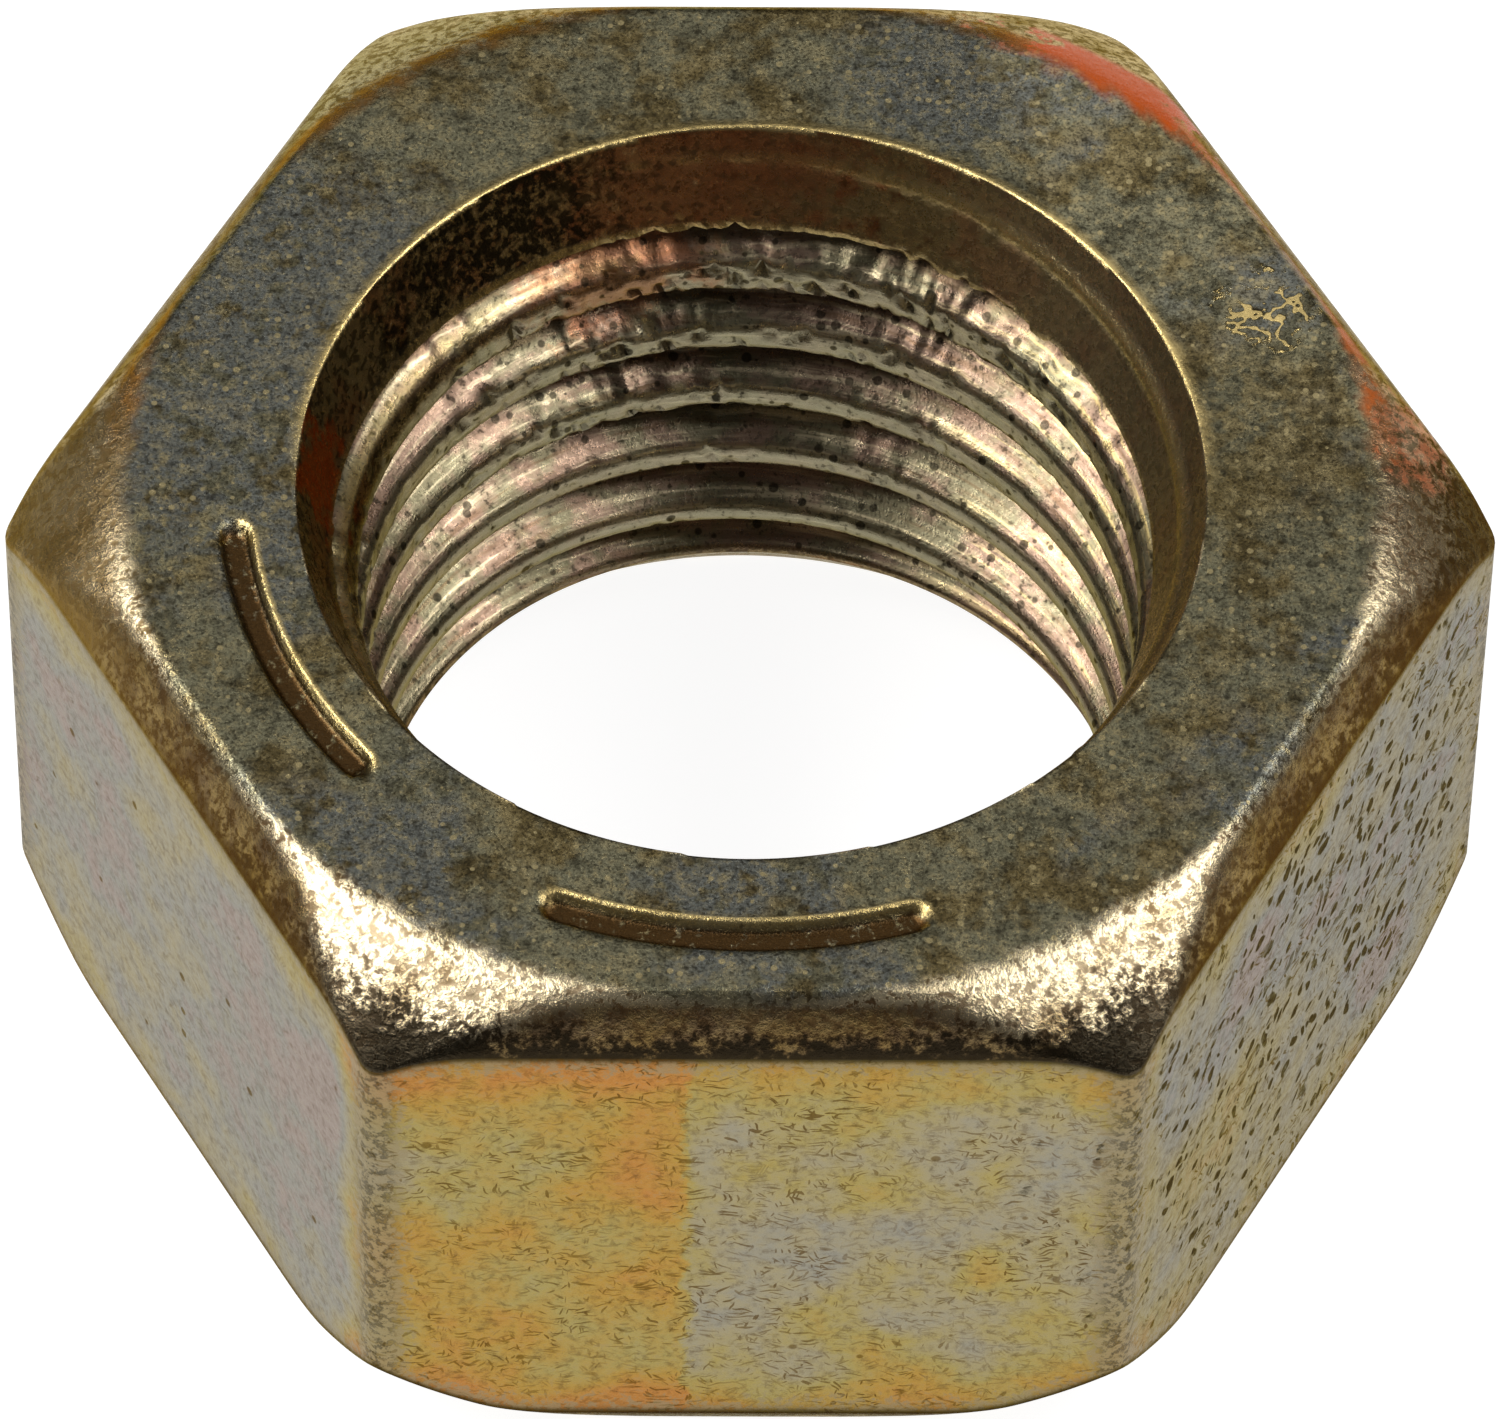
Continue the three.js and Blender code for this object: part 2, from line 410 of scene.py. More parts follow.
def addThreadWall(grid, topRim, bottomRim):
    # rows of this wall climb with the thread, so its crests and roots lie along mesh rows
    pitch, rowsPerTurn = thread["pitch"], layout["rowsPerTurn"]
    lastRow = math.ceil(nutHeight / pitch * rowsPerTurn) + 1
    rows = np.arange(-rowsPerTurn, lastRow + 1)
    z = pitch * (rows[:, None] / rowsPerTurn + angles[None, :] / (2 * np.pi))
    snap = layout["snap"] * pitch / rowsPerTurn
    isTop = z > nutHeight - snap
    isBottom = z < snap
    inside = ~(isTop | isBottom)
    ids = np.zeros(z.shape, int)
    ids[isTop] = np.broadcast_to(topRim[None, :], z.shape)[isTop]
    ids[isBottom] = np.broadcast_to(bottomRim[None, :], z.shape)[isBottom]
    z, theta = z[inside], np.broadcast_to(angles[None, :], z.shape)[inside]
    rough, wander = tearsAt(theta, z)
    wall, onCrest, inRoot = threadRadius(theta, z + wander, rough)
    cone = sinkRadius(z)
    onCone = blendStep(cone - wall, -finishEdges["sinkBlend"], finishEdges["sinkBlend"])
    onThread = 1 - onCone
    ridge = 1 - blendStep(np.abs(cone - wall), 0.0, sink["burrWidth"])
    ridge *= blendStep(wall, *sink["burrRadius"]) * blendStep(z, *sink["burrHeight"])
    radius = softMax(wall, cone, sink["blend"]) - sink["burr"] * ridge
    ids[inside] = grid.ring(
        radius * np.cos(theta), radius * np.sin(theta), z,
        theta * layout["boreRound"] / (2 * np.pi), z,
        sink=onCone, thread=onThread, crest=onCrest * onThread, root=inRoot * onThread, lip=ridge,
    )
    # going once round, a row joins the row one turn higher
    for row in range(len(rows) - 1):
        here, above = ids[row], ids[row + 1]
        nextHere = np.append(here[1:], ids[min(row + rowsPerTurn, len(rows) - 1), 0])
        nextAbove = np.append(above[1:], ids[min(row + rowsPerTurn + 1, len(rows) - 1), 0])
        for quad in np.stack([here, above, nextAbove, nextHere], 1).tolist():
            unique = list(dict.fromkeys(quad))
            if len(unique) > 2:
                grid.faces.append(unique)


def buildNutGrid():
    grid = NutGrid()
    top = addCap(grid, 1)
    bottom = addCap(grid, 0)
    for inner, outer in zip(top, top[1:]):
        grid.strip(inner, outer)
    for inner, outer in zip(bottom, bottom[1:]):
        grid.strip(outer, inner)
    addFlats(grid, top[-1], bottom[-1])
    addThreadWall(grid, top[0], bottom[0])
    return grid


def addWrap(mesh, wraps):
    # lengths round the nut and along it, laid flat as a UV map in millimetres
    corners = np.zeros(len(mesh.loops), np.int32)
    mesh.loops.foreach_get("vertex_index", corners)
    flatWrap = wraps[corners]
    jump, boreRound = layout["seamJump"], layout["boreRound"]
    for polygon in mesh.polygons:
        span = slice(polygon.loop_start, polygon.loop_start + polygon.loop_total)
        across = flatWrap[span, 0]
        if across.max() - across.min() > jump:
            inBore = abs(across.max() - boreRound) < layout["seamSlack"]
            around = boreRound if inBore else sideCount * flatLength * flatReach
            flatWrap[span, 0] = np.where(across < jump, across + around, across)
    layer = mesh.uv_layers.new(name="wrap")
    layer.data.foreach_set("uv", flatWrap.astype(np.float32).ravel())


def buildNut():
    grid = buildNutGrid()
    points = np.concatenate(grid.points)
    masks = np.concatenate(grid.masks)
    wraps = np.concatenate(grid.wraps)
    mesh = bpy.data.meshes.new("nutBody")
    mesh.from_pydata((points * millimetre).tolist(), [], grid.faces)
    mesh.validate()
    mesh.update()
    for index, name in enumerate(maskNames):
        layer = mesh.attributes.new(name + "Area", "FLOAT", "POINT")
        layer.data.foreach_set("value", masks[:, index].astype(np.float32))
    mesh.polygons.foreach_set("use_smooth", [True] * len(mesh.polygons))
    addWrap(mesh, wraps)
    piece = bpy.data.objects.new("nutBody", mesh)
    bpy.context.collection.objects.link(piece)
    return piece


nut = buildNut()
print("nut shaped:", len(nut.data.polygons), "faces")


class Paint:
    # a short way to write shader nodes
    waveScale = 1.8
    waveReach = (0.5, 0.35, 0)  # how far the flat map waves, round the nut and along it
    dashReach, dashEdge = 0.34, 0.08  # half a dash in steps of its own length, and its soft edge
    dotEdge = 0.1

    def __init__(self, name):
        self.material = bpy.data.materials.new(name)
        self.material.use_nodes = True
        self.tree = self.material.node_tree
        self.tree.nodes.clear()
        self.output = self.tree.nodes.new("ShaderNodeOutputMaterial")

    def node(self, kind, **settings):
        made = self.tree.nodes.new("ShaderNode" + kind)
        for key, value in settings.items():
            setattr(made, key, value)
        return made

    def feed(self, socket, value):
        if isinstance(value, bpy.types.NodeSocket):
            self.tree.links.new(value, socket)
        elif isinstance(value, (int, float)) and socket.type in ("RGBA", "VECTOR"):
            socket.default_value = (value,) * len(socket.default_value)
        else:
            socket.default_value = value

    def area(self, name):
        return self.node("Attribute", attribute_name=name + "Area").outputs["Fac"]

    def place(self, scale=(1, 1, 1), turn=(0, 0, 0), shift=(0, 0, 0)):
        # object position in millimetres, stretched, turned or shifted
        coordinates = self.node("TexCoord").outputs["Object"]
        mapping = self.node("Mapping")
        self.feed(mapping.inputs["Vector"], coordinates)
        mapping.inputs["Scale"].default_value = [s / millimetre for s in scale]
        mapping.inputs["Rotation"].default_value = [math.radians(a) for a in turn]
        mapping.inputs["Location"].default_value = shift
        return mapping.outputs["Vector"]

    def parts(self, vector):
        made = self.node("SeparateXYZ")
        self.feed(made.inputs[0], vector)
        return made.outputs

    def wavy(self):
        # the flat map, slightly wavy, so that marks laid along it bend
        if not hasattr(self, "wavyMap"):
            swirl = self.node("TexNoise")
            self.feed(swirl.inputs["Vector"], self.place())
            swirl.inputs["Scale"].default_value = self.waveScale
            shift = self.node("VectorMath", operation="MULTIPLY_ADD")
            self.feed(shift.inputs[0], swirl.outputs["Color"])
            shift.inputs[1].default_value = self.waveReach
            self.feed(shift.inputs[2], self.node("UVMap", uv_map="wrap").outputs["UV"])
            self.wavyMap = shift.outputs["Vector"]
        return self.wavyMap

    def laid(self, flatMap, turn, length, width):
        # the flat map, turned, in steps of one length and one width
        mapping = self.node("Mapping", vector_type="TEXTURE")
        self.feed(mapping.inputs["Vector"], flatMap)
        mapping.inputs["Rotation"].default_value = (0, 0, math.radians(turn))
        mapping.inputs["Scale"].default_value = (length, width, 1)
        return mapping.outputs["Vector"]

    def dashes(self, turn, length, width, share):
        # short marks laid along the surface, turned from the level by so many degrees
        made = self.node("TexVoronoi", voronoi_dimensions="2D")
        self.feed(made.inputs["Vector"], self.laid(self.wavy(), turn, length, width))
        made.inputs["Scale"].default_value = 1
        chance = self.parts(made.outputs["Color"])[0]
        reach = self.span(chance, 1 - share, 1, 0.0, self.dashReach)
        return self.span(self.maths("SUBTRACT", reach, made.outputs["Distance"]), 0.0, self.dashEdge)

    def noise(self, where, scale, detail=3.0, roughness=0.55):
        made = self.node("TexNoise")
        self.feed(made.inputs["Vector"], where)
        made.inputs["Scale"].default_value = scale
        made.inputs["Detail"].default_value = detail
        made.inputs["Roughness"].default_value = roughness
        return made.outputs["Fac"]

    def dots(self, scale, share, size):
        # scattered round specks, so many to the millimetre
        made = self.node("TexVoronoi")
        self.feed(made.inputs["Vector"], self.place())
        made.inputs["Scale"].default_value = scale
        chance = self.parts(made.outputs["Color"])[0]
        reach = self.span(chance, 1 - share, 1, 0.0, size)
        return self.span(self.maths("SUBTRACT", reach, made.outputs["Distance"]), 0.0, self.dotEdge)

    def span(self, value, low, high, toLow=0.0, toHigh=1.0):
        made = self.node("MapRange", interpolation_type="SMOOTHSTEP")
        for index, given in enumerate((value, low, high, toLow, toHigh)):
            self.feed(made.inputs[index], given)
        return made.outputs["Result"]

    def maths(self, operation, a, b=0.0):
        made = self.node("Math", operation=operation)
        self.feed(made.inputs[0], a)
        self.feed(made.inputs[1], b)
        return made.outputs[0]

    def times(self, *values):
        result = values[0]
        for value in values[1:]:
            result = self.maths("MULTIPLY", result, value)
        return result

    def most(self, *values):
        result = values[0]
        for value in values[1:]:
            result = self.maths("MAXIMUM", result, value)
        return result

    def mix(self, share, a, b):
        made = self.node("Mix", data_type="RGBA")
        self.feed(made.inputs["Factor"], share)
        self.feed(made.inputs[6], a)
        self.feed(made.inputs[7], b)
        return made.outputs[2]

    def ramp(self, value, *stops):
        made = self.node("ValToRGB")
        elements = made.color_ramp.elements
        while len(elements) < len(stops):
            elements.new(0.5)
        for element, (position, colour) in zip(elements, stops):
            element.position = position
            element.color = colour
        self.feed(made.inputs["Fac"], value)
        return made.outputs["Color"]

    def bump(self, height, strength, distance, normal=None):
        made = self.node("Bump")
        made.inputs["Strength"].default_value = strength
        made.inputs["Distance"].default_value = distance * millimetre
        self.feed(made.inputs["Height"], height)
        if normal is not None:
            self.feed(made.inputs["Normal"], normal)
        return made.outputs["Normal"]


plating = {
    "faceOlive": srgb(130, 126, 101),
    "faceBlue": srgb(112, 114, 108),
    "faceBrown": srgb(112, 98, 64),
    "faceTan": srgb(178, 162, 118),
    "sootAndShade": srgb(34, 30, 22),
    "umber": srgb(84, 60, 36),
    "markFloor": srgb(74, 54, 30),
    "tan": srgb(132, 108, 66),
    "brass": srgb(140, 120, 84),
    "gold": srgb(226, 208, 170),
    "lipGold": srgb(216, 190, 126),
    "rimYellow": srgb(128, 104, 60),
    "paleGreen": srgb(172, 172, 138),
    "pink": srgb(148, 133, 124),
    "lilac": srgb(138, 136, 127),
    "beige": srgb(152, 142, 112),
    "lime": srgb(158, 142, 82),
    "yellow": srgb(168, 134, 58),
    "orange": srgb(176, 120, 54),
    "edgeTan": srgb(136, 122, 92),
    "sinkOlive": srgb(150, 132, 92),
    "sinkRed": srgb(146, 92, 60),
    "threadPink": srgb(128, 106, 90),
    "threadGrey": srgb(108, 102, 80),
    "crestPale": srgb(156, 150, 124),
    "rust": srgb(190, 82, 22),
    "creaseBrown": srgb(158, 112, 54),
    "edgeTint": srgb(190, 176, 132),  # seen at a glancing angle
    "flatTint": srgb(238, 236, 230),
}
stains = {
    # middle, reach and softness
    "backOrange": ((3.9, 5.75, 8.2), 1.0, 0.4),
    "rightRust": ((7.3, 0.9, 8.1), 0.5, 0.4),
    "rightDark": ((7.7, -0.5, 7.8), 1.2, 0.6),
    "leftTan": ((-7.6, -0.3, 7.8), 1.3, 0.9),
    "sinkRust": ((-4.8, 0.5, 7.7), 0.5, 0.3),
    "sinkWarm": ((-0.6, 4.8, 7.9), 1.2, 1.2),
    "sinkBlack": ((-3.0, 3.8, 7.8), 1.2, 1.2),
    "threadRust": ((-1.6, 4.3, 6.8), 0.8, 0.5),
    "faceBrownRight": ((5.2, 0.7, 8.3), 1.1, 0.8),
    "faceBlueLeft": ((-5.4, 1.6, 8.3), 2.4, 1.2),
    "faceBlueTop": ((2.2, 5.7, 8.3), 0.9, 0.8),
    "faceScuff": ((5.7, 2.5, 8.3), 0.4, 0.12),
    "cornerPale": ((-4.0, 6.0, 8.0), 1.2, 0.7),
    "rightOlive": ((5.2, -5.1, 3.0), 1.3, 1.2),
    "rightPits": ((6.6, -3.2, 4.6), 3.4, 1.5),
}
finish = {
    "metal": (0.95, 0.35),  # clean plating and full rust
    "roughness": (0.34, 0.16),
    "flatRougher": 0.15,
    "threadRougher": 0.06,
    "scratches": [
        # turn from the level in degrees, length, width and share of places that get one
        (4, 0.34, 0.055, 0.42),
        (-14, 0.3, 0.05, 0.4),
        (27, 0.26, 0.05, 0.36),
        (-48, 0.26, 0.05, 0.36),
        (80, 0.22, 0.05, 0.3),
    ],
    "pits": [(78, 0.36, 0.24, 1.0), (60, 0.3, 0.2, 0.7)],
    "film": [
        # thickness, from thin to thick, and the colour that it gives
        (0.36, "pink"), (0.42, "lilac"), (0.5, "beige"),
        (0.58, "lime"), (0.67, "yellow"), (0.78, "orange"),
    ],
    "relief": {
        # strength and height in millimetres
        "skin": (0.45, 0.035),
        "grain": (0.5, 0.008),
        "streaks": (0.4, 0.015),
        "cuts": (-0.6, 0.03),
        "scuff": (0.8, 0.05),
    },
}


class PlatingPaint(Paint):
    # the places and noises that every part of the plating shares
    def __init__(self, name):
        super().__init__(name)
        self.here = self.place()
        self.x, self.y = self.parts(self.here)[:2]
        self.cloud = self.noise(self.place(shift=(7.0, 3.0, 1.0)), 1.1, 5.0, 0.65)
        self.medium = self.noise(self.place(shift=(3.0, 8.0, 5.0)), 2.6, 5.0, 0.65)
        self.fine = self.noise(self.here, 9.0, 5.0, 0.7)
        self.grain = self.noise(self.here, 30.0, 3.0, 0.7)

    def stain(self, name):
        # a ragged patch round one spot, 1 in its middle
        middle, reach, soft = stains[name]
        away = self.node("VectorMath", operation="DISTANCE")
        self.feed(away.inputs[0], self.here)
        away.inputs[1].default_value = middle
        wave = self.span(self.medium, 0.3, 0.7, -0.6 * reach, 0.6 * reach)
        ragged = self.maths("ADD", away.outputs["Value"], wave)
        return self.span(ragged, reach + soft, reach - soft * 0.3)


def bearingFacePaint(paint):
    # olive with blue-grey clouds, brown patches, tan and dark specks, and one gold scuff
    here, medium, fine = paint.here, paint.medium, paint.fine
    large = paint.noise(here, 0.4)
    grain = paint.grain
    face = paint.ramp(paint.cloud, (0.42, plating["faceBrown"]), (0.53, plating["faceOlive"]))
    blue = paint.most(paint.stain("faceBlueLeft"), paint.stain("faceBlueTop"), paint.span(large, 0.48, 0.58))
    face = paint.mix(paint.times(blue, paint.span(medium, 0.38, 0.52)), face, plating["faceBlue"])
    brown = paint.times(paint.stain("faceBrownRight"), paint.span(medium, 0.4, 0.52))
    face = paint.mix(paint.times(brown, 0.8), face, plating["faceBrown"])
    face = paint.mix(paint.span(medium, 0.5, 0.36, 0.0, 0.4), face, plating["sootAndShade"])
    face = paint.mix(paint.span(medium, 0.52, 0.64, 0.0, 0.3), face, plating["faceTan"])
    face = paint.mix(paint.span(fine, 0.5, 0.68, 0.0, 0.6), face, plating["faceTan"])
    face = paint.mix(paint.span(fine, 0.5, 0.32, 0.0, 0.7), face, plating["sootAndShade"])
    face = paint.mix(paint.span(grain, 0.55, 0.35, 0.0, 0.7), face, plating["sootAndShade"])
    face = paint.mix(paint.times(paint.dots(9.0, 0.3, 0.4), 0.7), face, plating["faceTan"])
    squiggle = paint.maths("SUBTRACT", paint.noise(here, 3.6, 2.0, 0.5), 0.5)
    squiggle = paint.span(paint.maths("ABSOLUTE", squiggle), 0.045, 0.03)
    scuff = paint.times(squiggle, paint.stain("faceScuff"))
    return paint.mix(scuff, face, plating["lipGold"]), scuff


def rimPaint(paint):
    # rounded rims and chamfers: brass with a painted highlight along the crease at the front, darker towards
    # the flats on the near side from grime and painted shade, rust at the back
    x, y, cloud, medium, fine = paint.x, paint.y, paint.cloud, paint.medium, paint.fine
    fall = paint.area("fall")
    rim = paint.mix(paint.span(cloud, 0.3, 0.55), plating["brass"], plating["gold"])
    band = paint.mix(paint.span(medium, 0.38, 0.6), plating["umber"], plating["rimYellow"])
    rim = paint.mix(paint.span(paint.area("corner"), 0.0, 1.0, 0.9, 0.0), rim, band)
    rim = paint.mix(paint.times(paint.stain("cornerPale"), 0.5), rim, plating["paleGreen"])
    rim = paint.mix(paint.times(paint.span(fine, 0.56, 0.42), 0.7), rim, plating["umber"])
    rim = paint.mix(paint.times(paint.stain("leftTan"), 0.75), rim, plating["tan"])
    rim = paint.mix(paint.times(paint.stain("rightDark"), 0.65), rim, plating["umber"])
    crease = paint.times(paint.span(fall, 0.01, 0.05), paint.span(fall, 0.22, 0.1))
    behind = paint.times(paint.span(y, 0.3, 1.2), paint.span(medium, 0.4, 0.55, 0.3, 0.9))
    crease = paint.times(crease, behind)
    rim = paint.mix(crease, rim, plating["creaseBrown"])
    # painted highlight: gold along the crease just below the bearing face, on the near side
    creaseHighlight = paint.times(paint.span(fall, 0.2, 0.08), paint.span(y, 0.0, -1.5), paint.span(fine, 0.42, 0.5))
    rim = paint.mix(paint.times(creaseHighlight, 0.9), rim, plating["gold"])
    vivid = paint.times(paint.stain("backOrange"), paint.span(fall, 0.42, 0.3))
    faintRust = paint.times(paint.stain("rightRust"), paint.span(fine, 0.4, 0.6), 0.6)
    rusty = paint.most(paint.times(crease, paint.span(x, 2.4, 3.6), 0.8), vivid, faintRust)
    rim = paint.mix(rusty, rim, plating["rust"])
    # partly grime, partly painted shade: the lower rim darkens towards the flats on the near side, most
    # across the front
    grimeAndShade = paint.maths("ADD", fall, paint.span(fine, 0.3, 0.7, 0.16, -0.16))
    grimeAndShade = paint.maths("ADD", grimeAndShade, paint.span(medium, 0.3, 0.7, 0.1, -0.1))
    grimeAndShade = paint.times(paint.span(grimeAndShade, 0.34, 0.62), paint.span(x, -7.0, -5.2, 0.15, 1.0))
    nearSide = paint.span(y, 2.5, 0.5)
    rim = paint.mix(paint.times(grimeAndShade, nearSide, 0.6), rim, plating["umber"])
    middle = paint.span(paint.maths("ABSOLUTE", x), 5.0, 3.8, 0.35, 0.92)
    return paint.mix(paint.times(grimeAndShade, nearSide, middle), rim, plating["sootAndShade"]), rusty


def flatPaint(paint):
    # the colours of a chromate film that changes in thickness, with scratches, pits and worn edges
    x, y, cloud, medium, fine = paint.x, paint.y, paint.cloud, paint.medium, paint.fine
    left, right = paint.span(x, -4.0, -4.4), paint.span(x, 4.0, 4.4)
    front = paint.span(y, -6.4, -6.9)
    film = paint.noise(paint.place(shift=(1.0, 4.0, 2.0)), 0.6, 3.0, 0.5)
    film = paint.span(film, 0.25, 0.75, 0.33, 0.52)
    film = paint.maths("ADD", film, paint.times(front, 0.11))
    wipedEdge = paint.maths("ADD", x, paint.span(medium, 0.3, 0.7, -0.12, 0.12))
    wiped = paint.times(paint.span(wipedEdge, -0.62, -0.76), paint.span(x, -3.6, -1.2, 0.06, 0.14))
    film = paint.maths("ADD", film, paint.times(wiped, front))
    film = paint.maths("ADD", film, paint.times(paint.area("hem"), 0.12))
    film = paint.maths("ADD", film, paint.times(paint.stain("rightOlive"), 0.1))
    film = paint.maths("ADD", film, paint.span(medium, 0.3, 0.7, -0.03, 0.03))
    flat = paint.ramp(film, *[(thickness, plating[colour]) for thickness, colour in finish["film"]])
    flat = paint.mix(paint.span(fine, 0.52, 0.3, 0.0, 0.35), flat, plating["umber"])
    scratches = paint.most(*[paint.dashes(*row) for row in finish["scratches"]])
    scratches = paint.times(scratches, paint.span(cloud, 0.35, 0.6, 1.0, 0.35))
    scratches = paint.times(scratches, paint.span(left, 0.0, 1.0, 1.0, 0.4))
    pits = paint.most(*[paint.dashes(*row) for row in finish["pits"]])
    pits = paint.times(pits, paint.stain("rightPits"), paint.span(cloud, 0.35, 0.5, 0.4, 1.0))
    scratches = paint.most(scratches, paint.times(paint.dots(4.0, 0.12, 0.3), 0.8))
    flat = paint.mix(paint.times(scratches, 0.75), flat, plating["umber"])
    flat = paint.mix(paint.times(pits, 0.9), flat, plating["sootAndShade"])
    # painted shade: the right-hand flats darkened a little
    flat = paint.mix(paint.times(right, 0.16), flat, plating["sootAndShade"])
    ragged = paint.span(fine, 0.35, 0.65, -0.5, 0.5)
    worn = paint.span(paint.maths("ADD", paint.area("edge"), ragged), 0.3, 0.8)
    flat = paint.mix(paint.times(worn, 0.7), flat, plating["edgeTan"])
    flat = paint.mix(paint.times(worn, paint.span(fine, 0.52, 0.42), 0.8), flat, plating["sootAndShade"])
    return flat, paint.most(scratches, pits)


def sinkPaint(paint):
    # countersinks: olive and red-brown, darker on the left, paler and more golden towards the right
    x, cloud, medium, fine = paint.x, paint.cloud, paint.medium, paint.fine
    sinkWall = paint.ramp(
        medium, (0.34, plating["umber"]), (0.46, plating["sinkOlive"]), (0.62, plating["brass"]))
    sinkWall = paint.mix(paint.times(paint.span(cloud, 0.5, 0.6), 0.5), sinkWall, plating["sinkRed"])
    leftDarkening = paint.times(paint.span(x, 1.5, -1.0, 0.4, 0.8), paint.span(fine, 0.54, 0.42))
    sinkWall = paint.mix(paint.span(x, 1.5, 4.0, 0.0, 0.4), sinkWall, plating["gold"])
    sinkWall = paint.mix(leftDarkening, sinkWall, plating["sootAndShade"])
    warm = paint.times(paint.stain("sinkWarm"), paint.span(fine, 0.35, 0.55, 0.2, 0.8))
    sinkWall = paint.mix(warm, sinkWall, plating["sinkRed"])
    black = paint.times(paint.stain("sinkBlack"), paint.span(fine, 0.58, 0.5, 0.25, 0.92))
    sinkWall = paint.mix(black, sinkWall, plating["sootAndShade"])
    sinkWall = paint.mix(paint.times(paint.span(fine, 0.6, 0.75), 0.7), sinkWall, plating["gold"])
    return paint.mix(paint.times(paint.stain("sinkRust"), 0.75), sinkWall, plating["rust"])


def threadPaint(paint):
    # streaks follow the cut and carry painted gold glints, pits and torn metal sit on the crests, and the
    # roots get painted shade
    x, cloud, fine = paint.x, paint.cloud, paint.fine
    flatMap = paint.node("UVMap", uv_map="wrap").outputs["UV"]
    streaks = paint.noise(paint.laid(flatMap, 2, 1.8, 0.06), 1.0, 3.0, 0.6)
    wall = paint.mix(paint.span(cloud, 0.42, 0.58), plating["threadPink"], plating["threadGrey"])
    # painted highlight: gold glints laid along the bright streaks, paler gold towards the right
    glint = paint.mix(paint.span(x, 1.0, 3.5), plating["gold"], plating["lipGold"])
    wall = paint.mix(paint.span(streaks, 0.5, 0.7, 0.0, 0.6), wall, glint)
    wall = paint.mix(paint.span(streaks, 0.5, 0.3, 0.0, 0.6), wall, plating["umber"])
    wall = paint.mix(paint.times(paint.area("crest"), 0.7), wall, plating["crestPale"])
    # painted shade: the roots of the grooves darkened to umber
    wall = paint.mix(paint.times(paint.area("root"), 0.8), wall, plating["umber"])
    wall = paint.mix(paint.times(paint.stain("threadRust"), 0.6), wall, plating["sinkRed"])
    wall = paint.mix(paint.times(paint.dots(6.0, 0.6, 0.4), 0.8), wall, plating["sootAndShade"])
    return paint.mix(paint.times(paint.span(fine, 0.44, 0.34), 0.7), wall, plating["sootAndShade"]), streaks


def makePlating():
    paint = PlatingPaint("yellowZincPlating")
    fine = paint.fine
    face, scuff = bearingFacePaint(paint)
    rim, rusty = rimPaint(paint)
    flat, cuts = flatPaint(paint)
    sinkWall = sinkPaint(paint)
    wall, streaks = threadPaint(paint)

    colour = paint.mix(paint.area("face"), rim, face)
    colour = paint.mix(paint.area("flat"), colour, flat)
    colour = paint.mix(paint.area("sink"), colour, sinkWall)
    colour = paint.mix(paint.area("thread"), colour, wall)
    pressed = paint.times(paint.area("mark"), paint.span(fine, 0.66, 0.56))
    colour = paint.mix(pressed, colour, plating["markFloor"])
    # painted highlight: gold on the raised lips round the countersink rim, on the torn ridge where the
    # thread starts and on the marks' lips, where these edges catch the light
    lipHighlight = paint.most(paint.area("lip"), paint.area("kerf"))
    lipHighlight = paint.times(lipHighlight, paint.span(fine, 0.35, 0.5, 0.3, 0.95))
    colour = paint.mix(lipHighlight, colour, plating["lipGold"])

    onFlat, onThread = paint.area("flat"), paint.area("thread")
    shader = paint.node("BsdfPrincipled")
    paint.feed(shader.inputs["Base Color"], colour)
    paint.feed(shader.inputs["Metallic"], paint.span(rusty, 0.0, 1.0, *finish["metal"]))
    rough = paint.span(fine, 0.3, 0.7, *finish["roughness"])
    rough = paint.maths("ADD", rough, paint.times(onFlat, finish["flatRougher"]))
    rough = paint.maths("ADD", rough, paint.times(onThread, finish["threadRougher"]))
    paint.feed(shader.inputs["Roughness"], rough)

    # cuts scatter light instead of tinting it at a glancing angle
    clean = paint.times(onFlat, paint.span(cuts, 0.0, 1.0, 1.0, 0.0))
    tint = paint.mix(clean, plating["edgeTint"], plating["flatTint"])
    paint.feed(shader.inputs["Specular Tint"], tint)

    heights = {
        "skin": paint.times(fine, paint.span(onThread, 0, 1, 1.0, 0.35)),
        "grain": paint.grain,
        "streaks": paint.times(streaks, onThread),
        "cuts": paint.times(cuts, onFlat),
        "scuff": paint.times(scuff, paint.area("face")),
    }
    relief = None
    for name, (strength, distance) in finish["relief"].items():
        relief = paint.bump(heights[name], strength, distance, relief)
    paint.feed(shader.inputs["Normal"], relief)
    paint.feed(paint.output.inputs["Surface"], shader.outputs["BSDF"])
    return paint.material


nut.data.materials.append(makePlating())
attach(nut, "root")
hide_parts("nut_body")
print("plating painted")


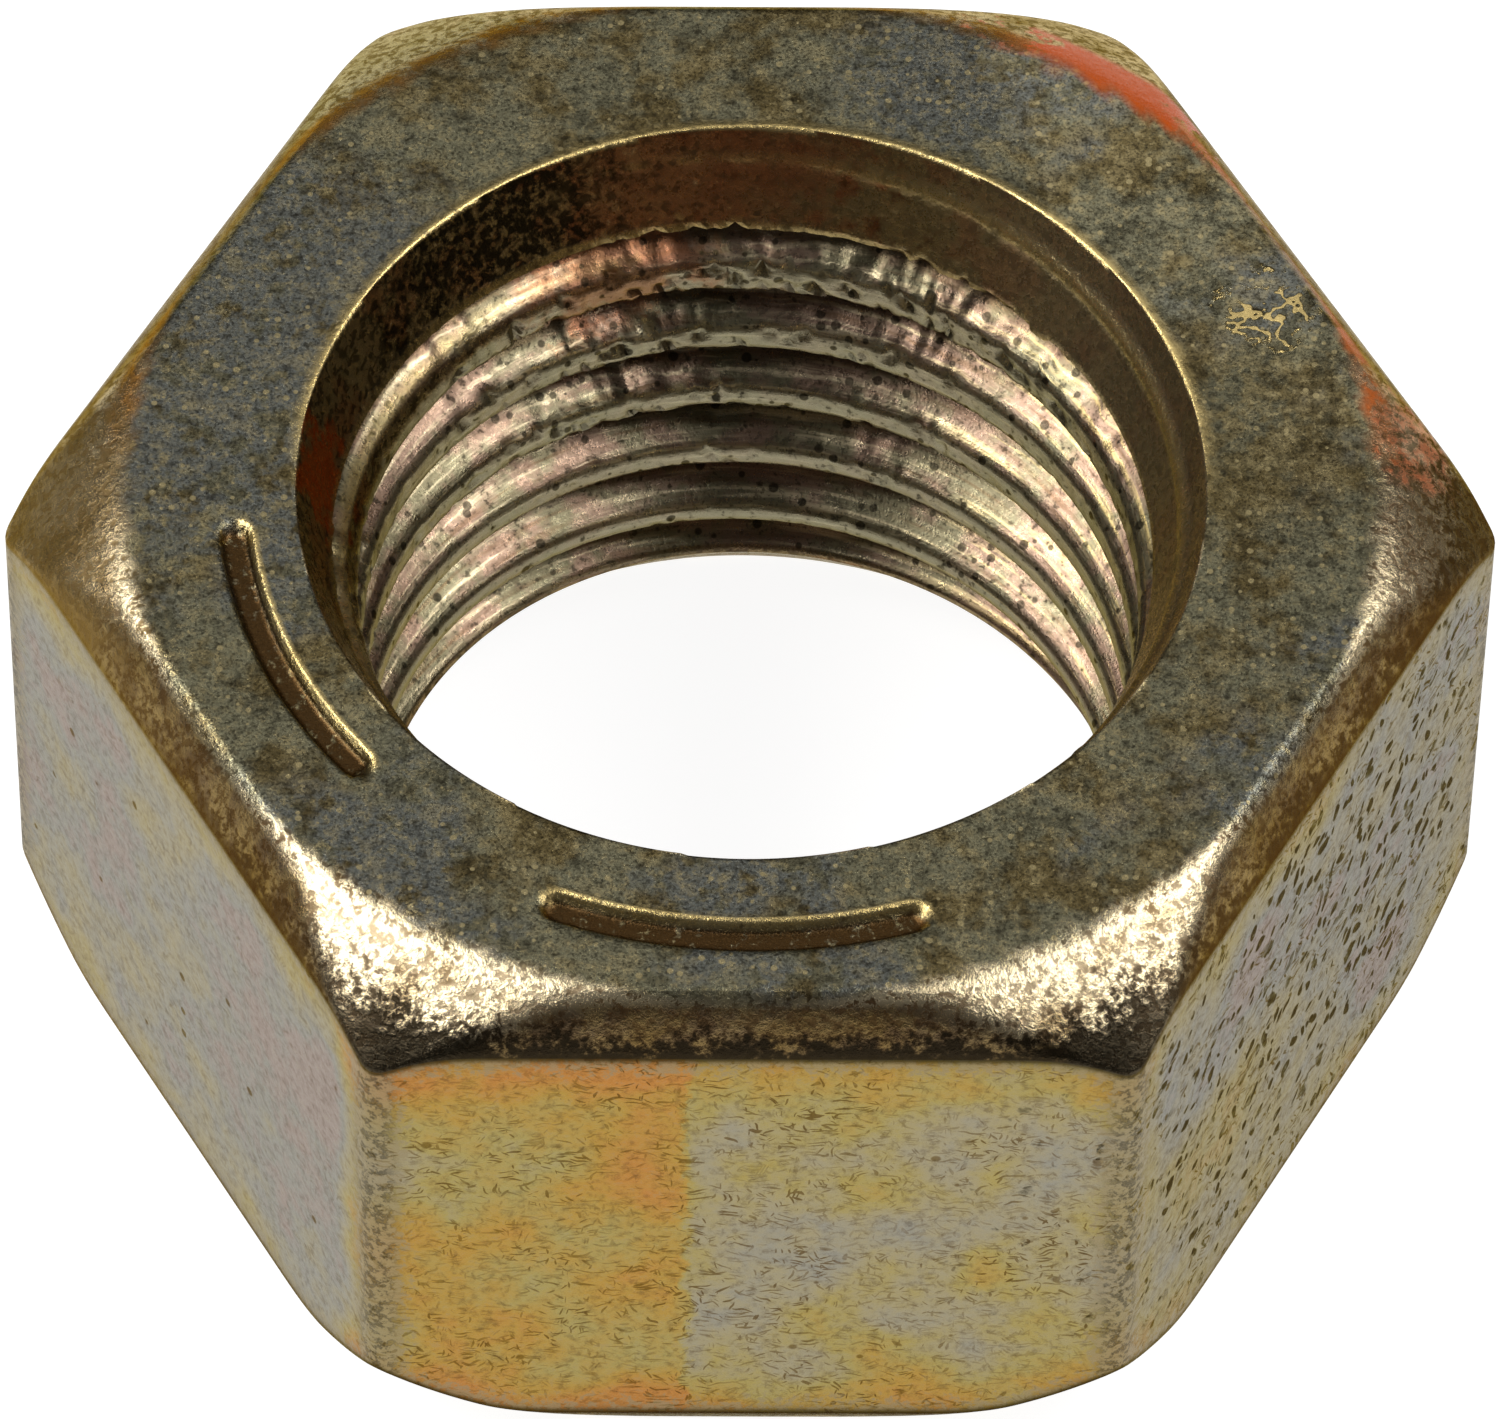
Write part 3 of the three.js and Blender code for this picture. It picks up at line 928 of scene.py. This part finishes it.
studio = {
    "floorGlow": 0.92,
    "floorColour": (0.25, 0.25, 0.25, 1),
    "worldGrey": 0.08,
    "boxes": [
        # name, azimuth, elevation, distance, width, height, brightness
        ("leftBox", 182, 52, 0.5, 0.30, 0.17, 14.0),
        ("rightBox", -2, 52, 0.5, 0.30, 0.17, 9.5),
        ("backCard", 90, 54, 0.5, 0.44, 0.28, 0.75),
    ],
}


def addFloor():
    mesh = bpy.data.meshes.new("floor")
    reach = 3.0
    corners = [(-reach, -reach, 0), (reach, -reach, 0), (reach, reach, 0), (-reach, reach, 0)]
    mesh.from_pydata(corners, [], [(0, 1, 2, 3)])
    floor = bpy.data.objects.new("floor", mesh)
    bpy.context.collection.objects.link(floor)
    paint = Paint("floorPaper")
    paper = paint.node("BsdfDiffuse")
    paper.inputs["Color"].default_value = studio["floorColour"]
    glow = paint.node("Emission")
    glow.inputs["Strength"].default_value = studio["floorGlow"]
    both = paint.node("AddShader")
    paint.feed(both.inputs[0], paper.outputs[0])
    paint.feed(both.inputs[1], glow.outputs[0])
    clear = paint.node("BsdfTransparent")
    sides = paint.node("MixShader")
    paint.feed(sides.inputs[0], paint.node("NewGeometry").outputs["Backfacing"])
    paint.feed(sides.inputs[1], both.outputs[0])
    paint.feed(sides.inputs[2], clear.outputs[0])
    paint.feed(paint.output.inputs["Surface"], sides.outputs[0])
    mesh.materials.append(paint.material)


def addSoftbox(name, azimuth, elevation, distance, width, height, brightness):
    data = bpy.data.lights.new(name, "AREA")
    data.shape = "RECTANGLE"
    data.size, data.size_y = width, height
    data.energy = brightness * math.pi * width * height
    box = bpy.data.objects.new(name, data)
    bpy.context.collection.objects.link(box)
    a, e = math.radians(azimuth), math.radians(elevation)
    out = Vector((math.cos(a) * math.cos(e), math.sin(a) * math.cos(e), math.sin(e)))
    box.location = out * distance
    box.rotation_euler = out.to_track_quat("Z", "Y").to_euler()
    box.visible_camera = False


def addWorld():
    world = bpy.data.worlds.new("studio")
    world.use_nodes = True
    world.node_tree.nodes["Background"].inputs["Color"].default_value = (1, 1, 1, 1)
    world.node_tree.nodes["Background"].inputs["Strength"].default_value = studio["worldGrey"]
    bpy.context.scene.world = world
    bpy.context.scene.view_settings.view_transform = "Standard"


addFloor()
for softbox in studio["boxes"]:
    addSoftbox(*softbox)
addWorld()
print("studio lit")
